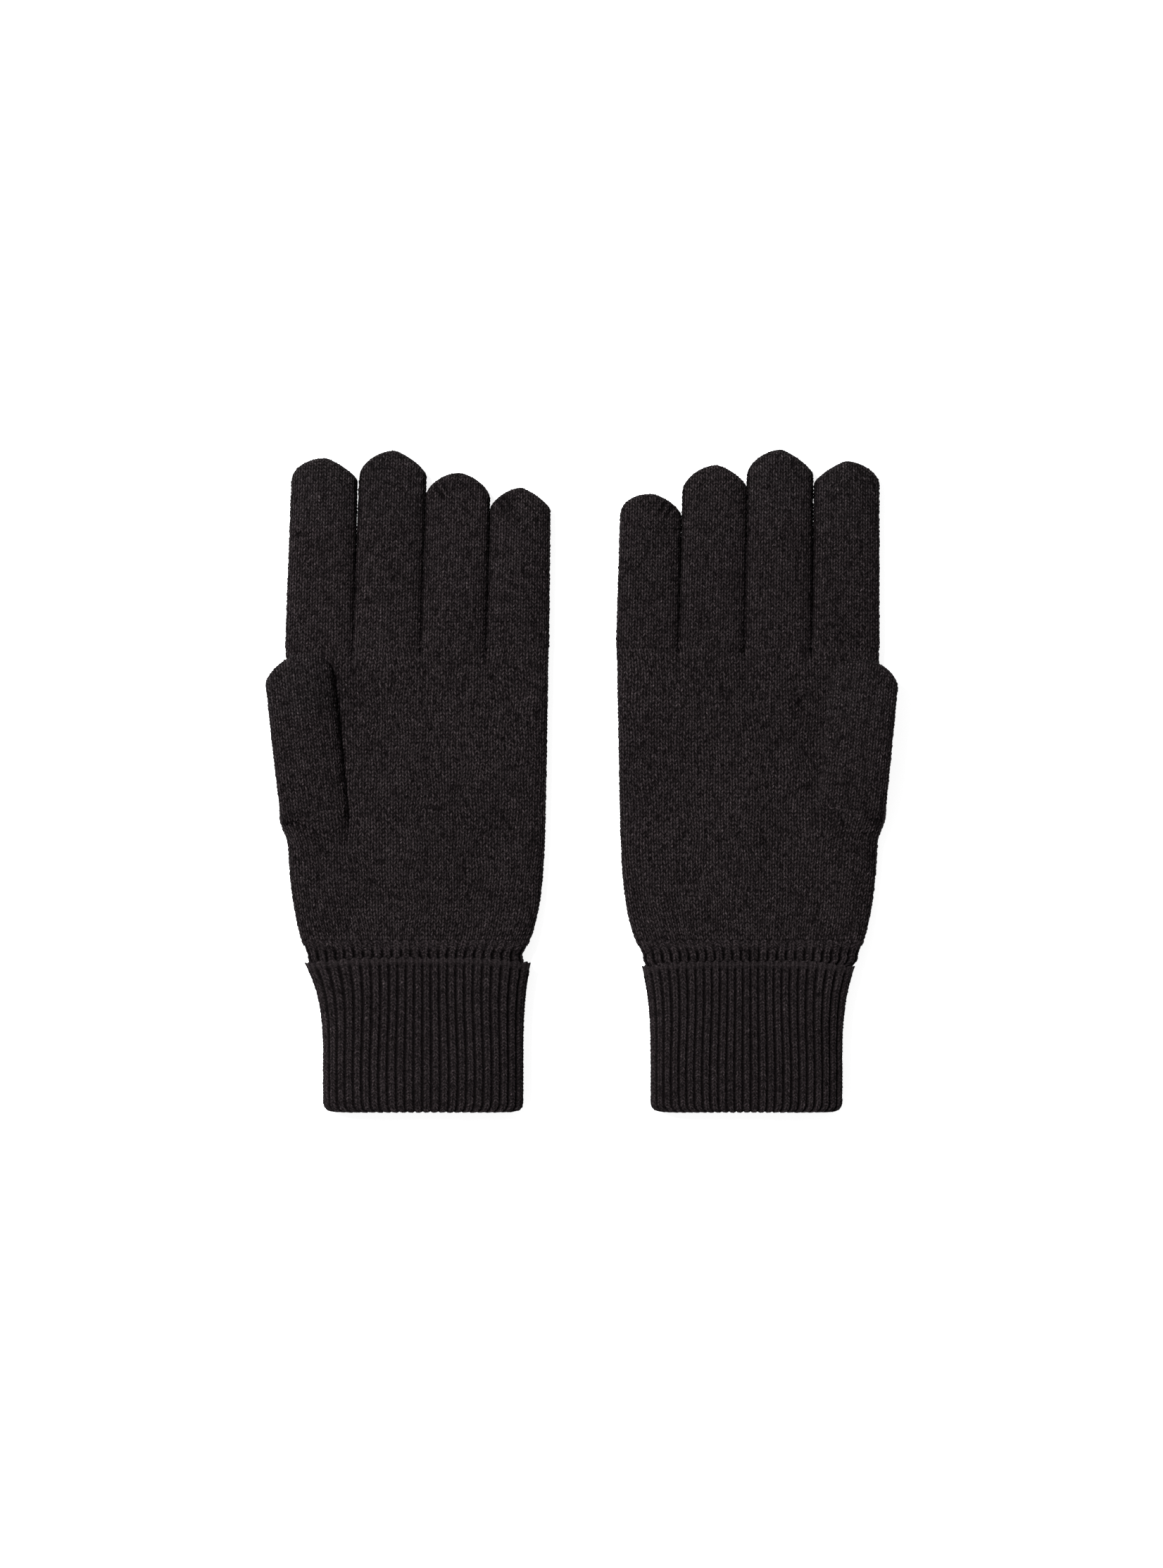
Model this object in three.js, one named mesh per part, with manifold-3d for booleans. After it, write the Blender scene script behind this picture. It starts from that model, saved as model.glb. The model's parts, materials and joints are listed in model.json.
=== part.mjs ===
// A pair of knitted touchscreen gloves lying flat, palms up, as they are laid out after drying.
// Millimetres. +Y runs to the fingertips, +X to the right, +Z up from the surface they lie on.
//
// Each glove is a flattened knitted tube that splits into four finger tubes, with a thumb that
// grows out of the palm and a ribbed wrist that is folded up over itself. Every piece is a
// hollow shell: a flattened outer tube with a smaller tube taken out of it. Pieces that bend
// against each other end in half rounds about the bend line, so they roll without touching.
import * as THREE from 'three';
import { mergeVertices } from 'three/addons/utils/BufferGeometryUtils.js';
import Module from 'manifold-3d';

const wasm = await Module();
wasm.setup();

// ---- driving dimensions -------------------------------------------------------------------
const GAP = 0.3; // between pieces that meet end to end
const KNIT = 1.5; // wall of the single knitted layer
const RIM = 0.4; // wall left at the square-cut rim of a rounded end
const THICKNESS = 8; // hand and fingers, back to front, lying flat
const FINGER_GAP = 0.6; // between neighbouring fingers at the crotch line
const HAND_LENGTH = 115.5; // wrist to the crotch line of the fingers
const CROTCH_WEB = 7; // knitted bridge between two fingers, measured down from the crotch line

const LITTLE_SIDE_SLANT = 2; // how far the little-finger edge draws in on its way to the wrist
const LITTLE_SIDE_WAIST = 8; // and how much further it draws in just above the cuff
const THUMB_SIDE_WAIST = 7.7; // draw-in of the thumb edge just above the cuff

// Knitted width at the crotch line, how much narrower the tip is, crotch line to knuckle.
const FINGERS = {
  little: { width: 23.5, taper: 0.9, knuckle: 30 },
  ring: { width: 25.0, taper: 1.4, knuckle: 34 },
  middle: { width: 25.6, taper: 0.4, knuckle: 38, touchLength: 27 },
  index: { width: 25.5, taper: 0.3, knuckle: 36, touchLength: 26 },
};
const FINGER_CAP = { height: 11, squareness: 1.6 }; // the slightly pointed end of a finger
const THUMB_CAP = { height: 9.5, squareness: 2.5 }; // the rounder end of the thumb

const THUMB = { width: 26.6, taper: 0, knuckle: 29, touchLength: 22 };
const THUMB_THICKNESS = 7.6;
const THUMB_INSET = 10.7; // centre of the thumb's root from the thumb-side edge of the palm
const GUSSET_LENGTH = 24; // the sloping root of the thumb on the palm
const GUSSET_FOOT = 9; // half width of that root at its lower end
const PALM_EDGE = 4; // palm fabric kept between the thumb hole and the edge of the hand

const CUFF_KNIT = 2; // wall of the folded-up rib layer
const CUFF_SLIP = 0.4; // room between the two rib layers
const CUFF_FOLD = 2.2; // depth of the fold below the inner layer
const FLARE_LENGTH = 40; // how far down the free edge's flare reaches
const LIFT_LENGTH = 17.5; // the last of the hand, which lifts to the level of the inner rib
const SWELL_LENGTH = 27; // the stretch over which the palm side rises to the cuff

// How each glove of the pair happens to lie. Digits are listed from the little finger.
const GLOVES = [
  {
    side: 'left',
    lengths: { little: 61.4, ring: 67, middle: 75.5, index: 72.6 },
    leans: { little: 1.2, ring: 1.7, middle: 2.4, index: 1.8 },
    thumbLength: 60.2,
    thumbDrop: 62, // thumb crotch below the crotch line of the fingers
    thumbTilt: 6.2, // degrees, away from the hand
    cuffLength: 56.7,
    cuffWidth: 76.2,
    cuffFlare: { thumb: 7.4, little: 3.1 },
    cuffShift: 3.4, // middle of the cuff from the middle of the wrist
  },
  {
    side: 'right',
    lengths: { little: 59, ring: 70, middle: 75.9, index: 71.5 },
    leans: { little: -1.2, ring: -1.6, middle: -0.9, index: -0.6 },
    thumbLength: 57.2,
    thumbDrop: 61,
    thumbTilt: 5.5,
    cuffLength: 55.4,
    cuffWidth: 73,
    cuffFlare: { thumb: 5.1, little: 3.6 },
    cuffShift: 1.8,
  },
];
const PAIR_GAP = 26.2; // between the two gloves at the crotch line
const CUFF_DROP = 59.9; // fold of the cuff below the wrist

// ---- worked out from them -----------------------------------------------------------------
const HALF = THICKNESS / 2;
const PALM_WIDTH = Object.values(FINGERS).reduce((sum, finger) => sum + finger.width, 0);
const CUFF_LIFT = CUFF_KNIT + CUFF_SLIP; // height of the inner rib above the surface
const CUFF_LEVEL = CUFF_LIFT + HALF; // mid height of both rib layers
const THUMB_LEVEL = THICKNESS + GAP + THUMB_THICKNESS / 2;
const WRIST = -HAND_LENGTH;

const ease = (s) => {
  const t = THREE.MathUtils.clamp(s, 0, 1);
  return t * t * (3 - 2 * t);
};
const mix = THREE.MathUtils.lerp;
const steps = (count) => Array.from({ length: count + 1 }, (_, i) => i / count);

// ---- colours of the yarns -----------------------------------------------------------------
const yarn = (color, roughness) =>
  new THREE.MeshStandardMaterial({ color, roughness, metalness: 0 });
const finishes = {
  body: () => yarn(0x221f20, 0.95), // fine charcoal-black jersey
  rib: () => yarn(0x252223, 0.96), // the same yarn knitted as rib
  touch: () => yarn(0x1b1a1c, 0.8), // conductive yarn at the tips
};

// ---- flattened tubes ----------------------------------------------------------------------
// A section is a flat band with round sides. Its plan is drawn once, at unit size, and pushed
// along +Y: station k says where the section is (y, x, z) and its half width w and half
// thickness t there.
const SECTION = new THREE.Shape()
  .absarc(1, 0, 1, -Math.PI / 2, Math.PI / 2)
  .absarc(-1, 0, 1, Math.PI / 2, (3 * Math.PI) / 2);

function flatTube(stations) {
  const last = stations.length - 1;
  const geometry = new THREE.ExtrudeGeometry(SECTION, {
    steps: last,
    depth: 1,
    bevelEnabled: false,
    curveSegments: 3,
  });
  const position = geometry.getAttribute('position');
  for (let i = 0; i < position.count; i++) {
    const { y, x = 0, z = 0, w, t } = stations[Math.round(position.getZ(i) * last)];
    const side = Math.min(t, w);
    const u = position.getX(i);
    const flat = THREE.MathUtils.clamp(u, -1, 1);
    position.setXYZ(i, x + flat * (w - side) + (u - flat) * side, y, z - position.getY(i) * t);
  }
  geometry.deleteAttribute('normal');
  geometry.deleteAttribute('uv');
  return geometry;
}

function solid(geometry) {
  const merged = mergeVertices(geometry, 1e-4);
  return new wasm.Manifold(
    new wasm.Mesh({
      numProp: 3,
      vertProperties: new Float32Array(merged.attributes.position.array),
      triVerts: new Uint32Array(merged.index.array),
    }),
  );
}
const tube = (stations, place = new THREE.Matrix4()) =>
  solid(flatTube(stations).applyMatrix4(place));

function mesh(name, shape, material) {
  const { vertProperties, triVerts } = shape.getMesh();
  const geometry = new THREE.BufferGeometry();
  geometry.setAttribute('position', new THREE.BufferAttribute(new Float32Array(vertProperties), 3));
  geometry.setIndex(new THREE.BufferAttribute(new Uint32Array(triVerts), 1));
  geometry.computeVertexNormals();
  const piece = new THREE.Mesh(geometry, material);
  piece.name = name;
  return piece;
}

// Offsets and half thicknesses of a half-round end of radius `half`, from its centre line out
// to the rim of the mouth, where it is cut square `reach` past the centre line.
const rimAngle = (half) => Math.acos((half - KNIT + RIM) / half);
const reach = (half) => half * Math.sin(rimAngle(half));
const roundEnd = (half) =>
  steps(3).map((s) => ({
    out: half * Math.sin(s * rimAngle(half)),
    t: half * Math.cos(s * rimAngle(half)),
  }));

// Half width and half thickness at share q of the way up a cap, which closes as a superellipse.
const closing = (q, power) => (1 - q ** power) ** (1 / power);
const CAP_STEPS = [0.3, 0.55, 0.75, 0.88, 0.95, 0.985];

// ---- one finger or thumb ------------------------------------------------------------------
// The group stands on the bend line at the digit's root, with a second group on the bend line
// at its knuckle. `length` and `knuckle` are measured from the crotch.
function digit(name, size, cap, half, length, lean) {
  const root = GAP + half; // crotch to the first bend line
  const knuckle = size.knuckle - root;
  const tip = length - root;
  const width = (y) => (size.width - FINGER_GAP - (size.taper * y) / tip) / 2;
  const drift = (y) => (lean * y) / tip;
  const at = (y, t) => ({ y, x: drift(y), w: width(y), t });
  const bore = (y) => ({ y, x: drift(y), w: width(y) - KNIT, t: half - KNIT });

  const farEnd = knuckle - half - GAP - reach(half);
  const lowerSkin = [
    ...roundEnd(half).reverse().map(({ out, t }) => at(-out, t)),
    ...roundEnd(half).map(({ out, t }) => at(farEnd + out, t)),
  ];
  const lower = tube(lowerSkin).subtract(tube([bore(-2 * half), bore(knuckle)]));

  const capped = (inset, from) => {
    const start = tip - cap.height;
    const height = cap.height - inset;
    return [
      ...from,
      { ...at(start, half - inset), w: width(start) - inset },
      ...CAP_STEPS.map((q) => ({
        y: start + q * height,
        x: drift(start + q * height),
        w: (width(start) - inset) * closing(q, cap.squareness),
        t: (half - inset) * closing(q, 2.2),
      })),
    ];
  };
  const rolledStart = roundEnd(half).reverse().map(({ out, t }) => at(knuckle - out, t));
  const whole = tube(capped(0, rolledStart)).subtract(tube(capped(KNIT, [bore(knuckle - 2 * half)])));

  const base = new THREE.Group();
  const bend = new THREE.Group();
  bend.position.set(drift(knuckle), knuckle, 0);
  base.name = `${name}_root_line`;
  bend.name = `${name}_knuckle_line`;
  base.add(mesh(`${name}_lower`, lower, finishes.body()), bend);

  const place = (piece) => {
    piece.geometry.translate(-bend.position.x, -bend.position.y, 0);
    bend.add(piece);
  };
  if (size.touchLength) {
    const edge = tip - size.touchLength;
    const above = (y) => tube([{ y, w: 60, t: 30 }, { y: tip + 10, w: 60, t: 30 }]);
    place(mesh(`${name}_upper`, whole.subtract(above(edge)), finishes.body()));
    place(mesh(`${name}_touch_tip`, whole.intersect(above(edge + GAP)), finishes.touch()));
  } else {
    place(mesh(`${name}_upper`, whole, finishes.body()));
  }
  return base;
}

// ---- the hand, from the wrist to the crotch line -------------------------------------------
// Little-finger edge and thumb edge of the palm at height y.
function palmEdges(y) {
  const down = THREE.MathUtils.clamp(-y / HAND_LENGTH, 0, 1);
  return {
    little: -LITTLE_SIDE_SLANT * down - LITTLE_SIDE_WAIST * down ** 7,
    thumb: -PALM_WIDTH + THUMB_SIDE_WAIST * down ** 6,
  };
}

// Underside and upper side of the hand at height y: flat on the surface, lifted at the wrist.
function palmLevels(y) {
  return {
    under: CUFF_LIFT * ease((WRIST + LIFT_LENGTH - y) / LIFT_LENGTH),
    over: THICKNESS + CUFF_LIFT * ease((WRIST + SWELL_LENGTH - y) / SWELL_LENGTH),
  };
}

function handStation(y, inset, thickness) {
  const { little, thumb } = palmEdges(y);
  const { under, over } = palmLevels(y);
  return {
    y,
    x: (little + thumb) / 2,
    z: (under + over) / 2,
    w: (little - thumb) / 2 - inset,
    t: thickness ?? (over - under) / 2 - inset,
  };
}

const HAND_STEPS = [0, 0.035, 0.07, 0.11, 0.155, 0.2, 0.26, 0.34, 0.5, 0.75];

function fingerCentres() {
  let edge = 0;
  return Object.fromEntries(
    Object.entries(FINGERS).map(([name, { width }]) => {
      edge -= width;
      return [name, edge + width / 2];
    }),
  );
}

function hand(name, gussetHollow) {
  const skin = [
    ...HAND_STEPS.map((s) => handStation(WRIST + GAP + s * (HAND_LENGTH - HALF), 0)),
    ...roundEnd(HALF).map(({ out, t }) => handStation(out - reach(HALF), 0, t)),
  ];
  const hollow = [
    handStation(WRIST - 1, KNIT),
    ...HAND_STEPS.map((s) => handStation(WRIST + GAP + s * (HAND_LENGTH - HALF), KNIT)),
    handStation(-CROTCH_WEB, KNIT),
  ];
  let shell = tube(skin).subtract(tube(hollow));
  for (const [finger, x] of Object.entries(fingerCentres())) {
    const w = (FINGERS[finger].width - FINGER_GAP) / 2 - KNIT;
    const mouth = { x, z: HALF, w, t: HALF - KNIT };
    shell = shell.subtract(tube([{ ...mouth, y: -CROTCH_WEB - 1 }, { ...mouth, y: 1 }]));
  }
  const core = tube([WRIST, -CROTCH_WEB].map((y) => handStation(y, PALM_EDGE, 2 * THICKNESS)));
  return mesh(name, shell.subtract(gussetHollow.intersect(core)), finishes.body());
}

// ---- the sloping root of the thumb ----------------------------------------------------------
// A flattened tube that leaves the inside of the palm and climbs to the thumb's level. Only
// what stands above the palm is the gusset; its hollow also cuts the thumb hole in the palm.
function gussetTubes(glove) {
  const half = THUMB_THICKNESS / 2;
  const place = new THREE.Matrix4()
    .makeRotationZ(THREE.MathUtils.degToRad(glove.thumbTilt))
    .setPosition(-PALM_WIDTH + THUMB_INSET, -glove.thumbDrop, 0);
  const inside = HALF + (HALF - half); // level at which the tube's upper side is the palm's
  const station = (back, inset, t) => {
    const climb = ease(1 - back / GUSSET_LENGTH);
    return {
      y: -back,
      z: mix(inside, THUMB_LEVEL, climb),
      w: mix(GUSSET_FOOT, (THUMB.width - FINGER_GAP) / 2, climb) - inset,
      t: (t ?? half) - inset,
    };
  };
  const backs = steps(8).map((s) => mix(GUSSET_LENGTH, reach(half), s));
  const end = roundEnd(half).slice(1).map(({ out, t }) => station(reach(half) - out, 0, t));
  return {
    skin: tube([...backs.map((back) => station(back, 0)), ...end], place),
    hollow: tube([...backs, -1].map((back) => station(back, KNIT)), place),
  };
}

function gusset(name, tubes) {
  const floor = THICKNESS + GAP;
  const abovePalm = tube([-300, 100].map((y) => ({ y, z: floor + 50, w: 300, t: 50 })));
  return mesh(name, tubes.skin.subtract(tubes.hollow).intersect(abovePalm), finishes.body());
}

// ---- the ribbed wrist -----------------------------------------------------------------------
// The rib runs down inside as one layer, turns at the fold and comes back up outside it.
function cuffs(glove) {
  const fold = WRIST - CUFF_DROP;
  const edge = fold + glove.cuffLength;
  const { thumb, little } = glove.cuffFlare;
  const centre = handStation(WRIST, 0).x + glove.cuffShift;
  const layer = (y, inset) => {
    const flare = Math.max(0, 1 - (edge - y) / FLARE_LENGTH) ** 3.2;
    return {
      y,
      x: centre + (flare * (little - thumb)) / 2,
      z: CUFF_LEVEL,
      w: (glove.cuffWidth + flare * (little + thumb)) / 2 - inset,
      t: CUFF_LEVEL - inset,
    };
  };
  const inner = CUFF_KNIT + CUFF_SLIP;
  const downTo = (from, to) =>
    [0, 0.06, 0.13, 0.22, 0.35, 0.6, 1].map((s) => mix(from, to, s)).reverse();

  const foldRound = steps(3).map((s) => {
    const angle = (s * Math.PI) / 2.4;
    return layer(fold + CUFF_KNIT * (1 - Math.sin(angle)), CUFF_KNIT * (1 - Math.cos(angle)));
  });
  const turnedSkin = [...foldRound.reverse(), ...downTo(edge, fold + CUFF_FOLD + 2).map((y) => layer(y, 0))];
  const turnedRoom = downTo(edge + 1, fold + CUFF_FOLD).map((y) => layer(y, CUFF_KNIT));
  const mouth = [fold - 1, fold + CUFF_FOLD + 1].map((y) => layer(y, inner + KNIT));
  const turned = tube(turnedSkin).subtract(tube(turnedRoom)).subtract(tube(mouth));

  const wristEnd = (inset) => ({
    ...handStation(WRIST, inset),
    z: CUFF_LEVEL,
    t: HALF - inset,
  });
  const low = fold + CUFF_FOLD + GAP;
  const lining = (inset, below, above) => [
    ...downTo(edge, low).map((y) => layer(y, inner + inset)),
    wristEnd(inset),
  ].map((station, i, all) => {
    if (i === 0) return { ...station, y: station.y - below };
    return i === all.length - 1 ? { ...station, y: station.y + above } : station;
  });
  const inside = tube(lining(0, 0, 0)).subtract(tube(lining(KNIT, 1, 1)));
  return [
    mesh(`${glove.side}_inner_cuff`, inside, finishes.rib()),
    mesh(`${glove.side}_turned_cuff`, turned, finishes.rib()),
  ];
}

// ---- one glove --------------------------------------------------------------------------------
// Its own frame: x = 0 at the little-finger edge, y = 0 at the crotch line, thumb towards -x.
function glove(layout) {
  const group = new THREE.Group();
  const tubes = gussetTubes(layout);
  group.add(hand(`${layout.side}_hand`, tubes.hollow));
  group.add(gusset(`${layout.side}_thumb_gusset`, tubes));
  group.add(...cuffs(layout));

  for (const [finger, x] of Object.entries(fingerCentres())) {
    const name = `${layout.side}_${finger}`;
    const { [finger]: length } = layout.lengths;
    const { [finger]: lean } = layout.leans;
    const base = digit(name, FINGERS[finger], FINGER_CAP, HALF, length, lean);
    base.position.set(x, GAP + HALF, HALF);
    group.add(base);
  }

  const half = THUMB_THICKNESS / 2;
  const thumb = digit(`${layout.side}_thumb`, THUMB, THUMB_CAP, half, layout.thumbLength, 0);
  const tilt = THREE.MathUtils.degToRad(layout.thumbTilt);
  const root = GAP + half;
  thumb.position.set(
    -PALM_WIDTH + THUMB_INSET - root * Math.sin(tilt),
    -layout.thumbDrop + root * Math.cos(tilt),
    THUMB_LEVEL,
  );
  thumb.rotation.z = tilt;
  group.add(thumb);
  return group;
}

const pair = new THREE.Group();
const [left, right] = GLOVES.map(glove);
right.scale.x = -1; // the right glove is drawn as a left one and turned over
left.position.x = -PAIR_GAP / 2;
right.position.x = PAIR_GAP / 2;
pair.add(left, right);

// The origin is the middle of the pair's footprint, on the surface.
const box = new THREE.Box3().setFromObject(pair, true);
const middle = box.getCenter(new THREE.Vector3());
pair.position.set(-middle.x, -middle.y, -box.min.z);

export default pair;
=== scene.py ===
# %% [markdown]
# # A pair of knitted touchscreen gloves
# Each glove is one long tube of fine black wool-like yarn: four finger tubes and a thumb grow out of a
# flattened hand, and a ribbed wrist is folded up over itself. Nothing on it is hard, so every shape in
# this scene is cloth, and what the eye reads is the stitch: thousands of small V shapes.
# A bump map would lie flat at the edges, so each stitch is real relief on a grid that follows the knit.

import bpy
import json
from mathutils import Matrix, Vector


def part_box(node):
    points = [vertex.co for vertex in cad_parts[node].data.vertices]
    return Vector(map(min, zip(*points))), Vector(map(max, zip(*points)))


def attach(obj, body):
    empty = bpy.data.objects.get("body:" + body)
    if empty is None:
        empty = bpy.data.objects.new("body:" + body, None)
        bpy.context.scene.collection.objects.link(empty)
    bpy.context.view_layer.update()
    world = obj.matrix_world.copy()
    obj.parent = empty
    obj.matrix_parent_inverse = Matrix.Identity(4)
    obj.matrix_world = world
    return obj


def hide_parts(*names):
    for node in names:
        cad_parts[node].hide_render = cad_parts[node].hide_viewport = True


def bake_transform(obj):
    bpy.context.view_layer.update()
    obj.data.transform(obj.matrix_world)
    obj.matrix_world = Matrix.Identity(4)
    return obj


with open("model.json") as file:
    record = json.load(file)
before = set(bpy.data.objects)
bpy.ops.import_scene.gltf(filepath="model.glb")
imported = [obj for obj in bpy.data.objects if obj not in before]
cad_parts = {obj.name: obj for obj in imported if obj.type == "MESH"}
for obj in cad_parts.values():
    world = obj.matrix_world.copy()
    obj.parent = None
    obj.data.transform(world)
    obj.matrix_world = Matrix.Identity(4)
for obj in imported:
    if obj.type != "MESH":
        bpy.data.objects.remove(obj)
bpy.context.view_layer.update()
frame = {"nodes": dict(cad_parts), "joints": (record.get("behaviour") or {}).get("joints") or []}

import bpy
import json
import numpy as np
from mathutils import Vector

MM = 0.001

# %% [markdown]
# ## Sizes of the knit
# A wale is one column of stitches and a course is one row. A fine machine knit like this has wales of a
# little over 2 mm and courses of about 1.5 mm. The ribs of the wrist are one knit wale and one purl wale
# wide. The grid has a whole number of columns in a wale and of rows in a course, so that every stitch
# gets the same few vertices and the relief is crisp with few faces.

# %% Sizes of the knit
PALM_WALE = 2.17 * MM
PALM_COURSE = 1.49 * MM
FINGER_WALE = 2.08 * MM
FINGER_COURSE = 1.42 * MM
RIB_COURSE = 1.25 * MM
RIB_PITCH = {"left": 3.74 * MM, "right": 3.42 * MM}
WALE_COLUMNS = 6
RIB_COLUMNS = 10
COURSE_ROWS = 3
STITCH_HEIGHT = 0.34 * MM
RIB_HEIGHT = 0.95 * MM
RIB_STITCH_HEIGHT = 0.26 * MM
SLANT = 0.9  # how many courses a leg of a stitch rises from the middle of its wale to the side
WALL = 1.3 * MM
EDGE_POWER = 2.2  # how round the fold at the side of a flattened tube is
EDGE_WIDTH = 4.2 * MM  # how much of the width that fold takes
print("palm:", round(1e-4 / (PALM_WALE * PALM_COURSE), 1), "stitches to a square centimetre")

# %% [markdown]
# ## Where each glove lies
# All places come from the frame: the box of the hand gives the crotch line of the fingers and the two
# edges of the palm, and the hinge lines give the middle of every finger at its root and its knuckle.
# A glove is worked out once in its own frame, with x = 0 at the edge of the little finger, the thumb
# towards -x and y = 0 at the crotch line. The right glove is the mirror image, placed by a sign.

# %% Where each glove lies
JOINTS = {joint["name"]: joint for joint in frame["joints"]}
FINGERS = ["little", "ring", "middle", "index"]


def glove_facts(side):
    """Sizes of one glove in its own frame, read from the boxes and hinge lines of the frame."""
    low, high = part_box(f"{side}_hand")
    inner_low, inner_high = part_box(f"{side}_inner_cuff")
    turned_low, turned_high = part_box(f"{side}_turned_cuff")
    sign = 1 if side == "left" else -1
    zero = high.x if side == "left" else low.x
    cuff_edges = sorted([sign * (turned_low.x - zero), sign * (turned_high.x - zero)])
    return {
        "side": side,
        "sign": sign,
        "zero": zero,
        "crotch": high.y,
        "palm_width": high.x - low.x,
        "length": high.y - inner_high.y,
        "lift": inner_low.z,
        "thickness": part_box(f"{side}_index_lower")[1].z,
        "fold": turned_low.y - high.y,
        "edge": turned_high.y - high.y,
        "cuff_edges": cuff_edges,
        "cuff_height": turned_high.z,
    }


def to_glove(facts, point):
    """A point of the pair's frame in the frame of one glove."""
    return np.array([facts["sign"] * (point[0] - facts["zero"]), point[1] - facts["crotch"], point[2]])


def to_pair(facts, points):
    """Points of a glove's own frame, put where that glove lies."""
    x = facts["zero"] + facts["sign"] * points[..., 0]
    return np.stack([x, points[..., 1] + facts["crotch"], points[..., 2]], -1)


GLOVES = [glove_facts(side) for side in ("left", "right")]
for facts in GLOVES:
    print(facts["side"], {k: round(v / MM, 1) for k, v in facts.items() if isinstance(v, float)})


# %% [markdown]
# ## Small helpers
# The same few curves shape everything: an ease from 0 to 1, a soft maximum that joins two heights with a
# fillet, and slow waves that keep a soft surface from being ruler-flat.

# %% Small helpers
def ease(s):
    """Smooth step: 3s^2 - 2s^3 between 0 and 1, flat outside."""
    s = np.clip(s, 0, 1)
    return s * s * (3 - 2 * s)


def soft_max(a, b, radius):
    """The larger of two heights, with a fillet of about that radius where they cross."""
    h = np.clip(0.5 + 0.5 * (a - b) / radius, 0, 1)
    return b + (a - b) * h + radius * h * (1 - h)


def slow_waves(x, y, seed, lengths=(18 * MM, 55 * MM), count=9):
    """Sum of a few sine waves in seeded directions and lengths, scaled to about -1 to 1."""
    rng = np.random.default_rng(seed)
    total = np.zeros(np.broadcast(x, y).shape)
    for _ in range(count):
        angle = rng.uniform(0, np.pi)
        length = rng.uniform(*lengths)
        phase = rng.uniform(0, 2 * np.pi)
        total += np.sin((x * np.cos(angle) + y * np.sin(angle)) * 2 * np.pi / length + phase)
    return total / np.sqrt(count) / 1.4


def profile(across, power):
    """Height share of a flattened tube: (1 - |across|^power)^(1 / EDGE_POWER), 1 in the middle."""
    return np.clip(1 - np.abs(across) ** power, 0, 1) ** (1 / EDGE_POWER)


def ring_table(half_width, half_height, power):
    """Shares of the way round a flattened tube and the place across it there, evenly by length.

    The way round starts at +x, goes over the top to -x and comes back underneath."""
    angle = np.linspace(0, np.pi, 4001)
    across = np.cos(angle)
    x = half_width * across
    z = half_height * profile(across, power)
    length = np.concatenate([[0], np.cumsum(np.hypot(np.diff(x), np.diff(z)))])
    share = length / length[-1] / 2
    return np.concatenate([share, 1 - share[::-1]]), np.concatenate([across, across[::-1]]), 2 * length[-1]


print("height share half way out:", [round(float(profile(0.5, power)), 3) for power in (2, 4, 8)])


# %% [markdown]
# ## The stitch
# Seen from outside, a knit stitch is two short legs of yarn that lean apart like a V, and each wale is a
# stack of them. Rows of the grid run in the same zigzag as the legs, so one leg is a small block of
# vertices: its height is a round pillow across the leg and along it, and the rows and columns between
# legs are the valleys. Every leg gets its own small random height, as no yarn is quite even.

# %% The stitch
MEAN_HEIGHT = 0.45  # share of the height of a stitch at which the surface of the piece lies
UNEVEN = 0.24  # how uneven the yarn is, as a share of the height of a stitch
LEG_SPREAD = 0.27  # how much the heights of whole legs differ
LEG_RANGE = (0.55, 1.35)  # their least and most
STRAY = 0.13  # how far legs lie out of their row, in courses
STRAY_MOST = 0.2
WANDER = 0.11  # how far the wales drift sideways, in wales
TUCKED = 0.5  # how deep the row under the next piece lies, as a share of the height of a stitch


def stitch_grid(wales, first, last, seed, square=False):
    """Wale and course coordinates of a grid, and the share of full height of a leg at each vertex.

    Height is sqrt(1 - 0.9 q^2 - 0.85 r^2), with q from -1 to 1 across a leg and r along it. Rows rise
    by SLANT times the distance from the middle of the wale; a square start runs straight instead. Each
    leg is a little higher or lower than the next and strays a little along its wale.
    One more row at each end is tucked under the next piece, so that the seam shades like any valley."""
    rng = np.random.default_rng(seed)
    u = np.arange(wales * WALE_COLUMNS) / WALE_COLUMNS
    rows = int(round((last - first) * COURSE_ROWS)) + 2
    v = first + (np.arange(rows + 1) - 1) / COURSE_ROWS
    away = 2 * np.abs(u % 1 - 0.5)
    q = 2 * away - 1
    r = 2 * ((v + 1e-6) % 1) - 1
    height = np.sqrt(np.clip(1 - 0.9 * q[None] ** 2 - 0.85 * r[:, None] ** 2, 0, 1))
    legs = rng.normal(1, LEG_SPREAD, (int(np.ceil(last - first)) + 3, 2 * wales))
    row_of = np.floor(v - first + 1e-6).astype(int) + 1
    leg_of = np.floor(2 * u + 1e-6).astype(int)
    height = height * np.clip(legs[row_of[:, None], leg_of[None]], *LEG_RANGE)
    lean = np.full(len(v), SLANT)
    if square:
        lean = lean * ease((v - first) / 2)
    fuzz = rng.normal(0, UNEVEN, height.shape)
    height = np.clip(height + fuzz, 0, 1.5)
    height[[0, -1]] -= TUCKED
    stray = np.clip(rng.normal(0, STRAY, legs.shape), -STRAY_MOST, STRAY_MOST)
    stray = stray[row_of[:, None], leg_of[None]]
    stray = stray * np.clip(np.minimum(v - first, last - v) / 2, 0, 1)[:, None]
    return u, v, height, v[:, None] + lean[:, None] * away[None] + stray


def wander(u, v, wales, seed):
    """Slow sideways drift of the wales, in wales: sines round the tube that vanish at both folds."""
    rng = np.random.default_rng(seed)
    total = 0
    for turns in (3, 5, 8, 13):
        slow = np.sin(v * rng.uniform(0.1, 0.45) + rng.uniform(0, 6))
        total = total + np.sin(2 * np.pi * turns * u / wales) * slow
    return WANDER * total


print("one stitch is", WALE_COLUMNS, "by", COURSE_ROWS, "cells of the grid")


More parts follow.
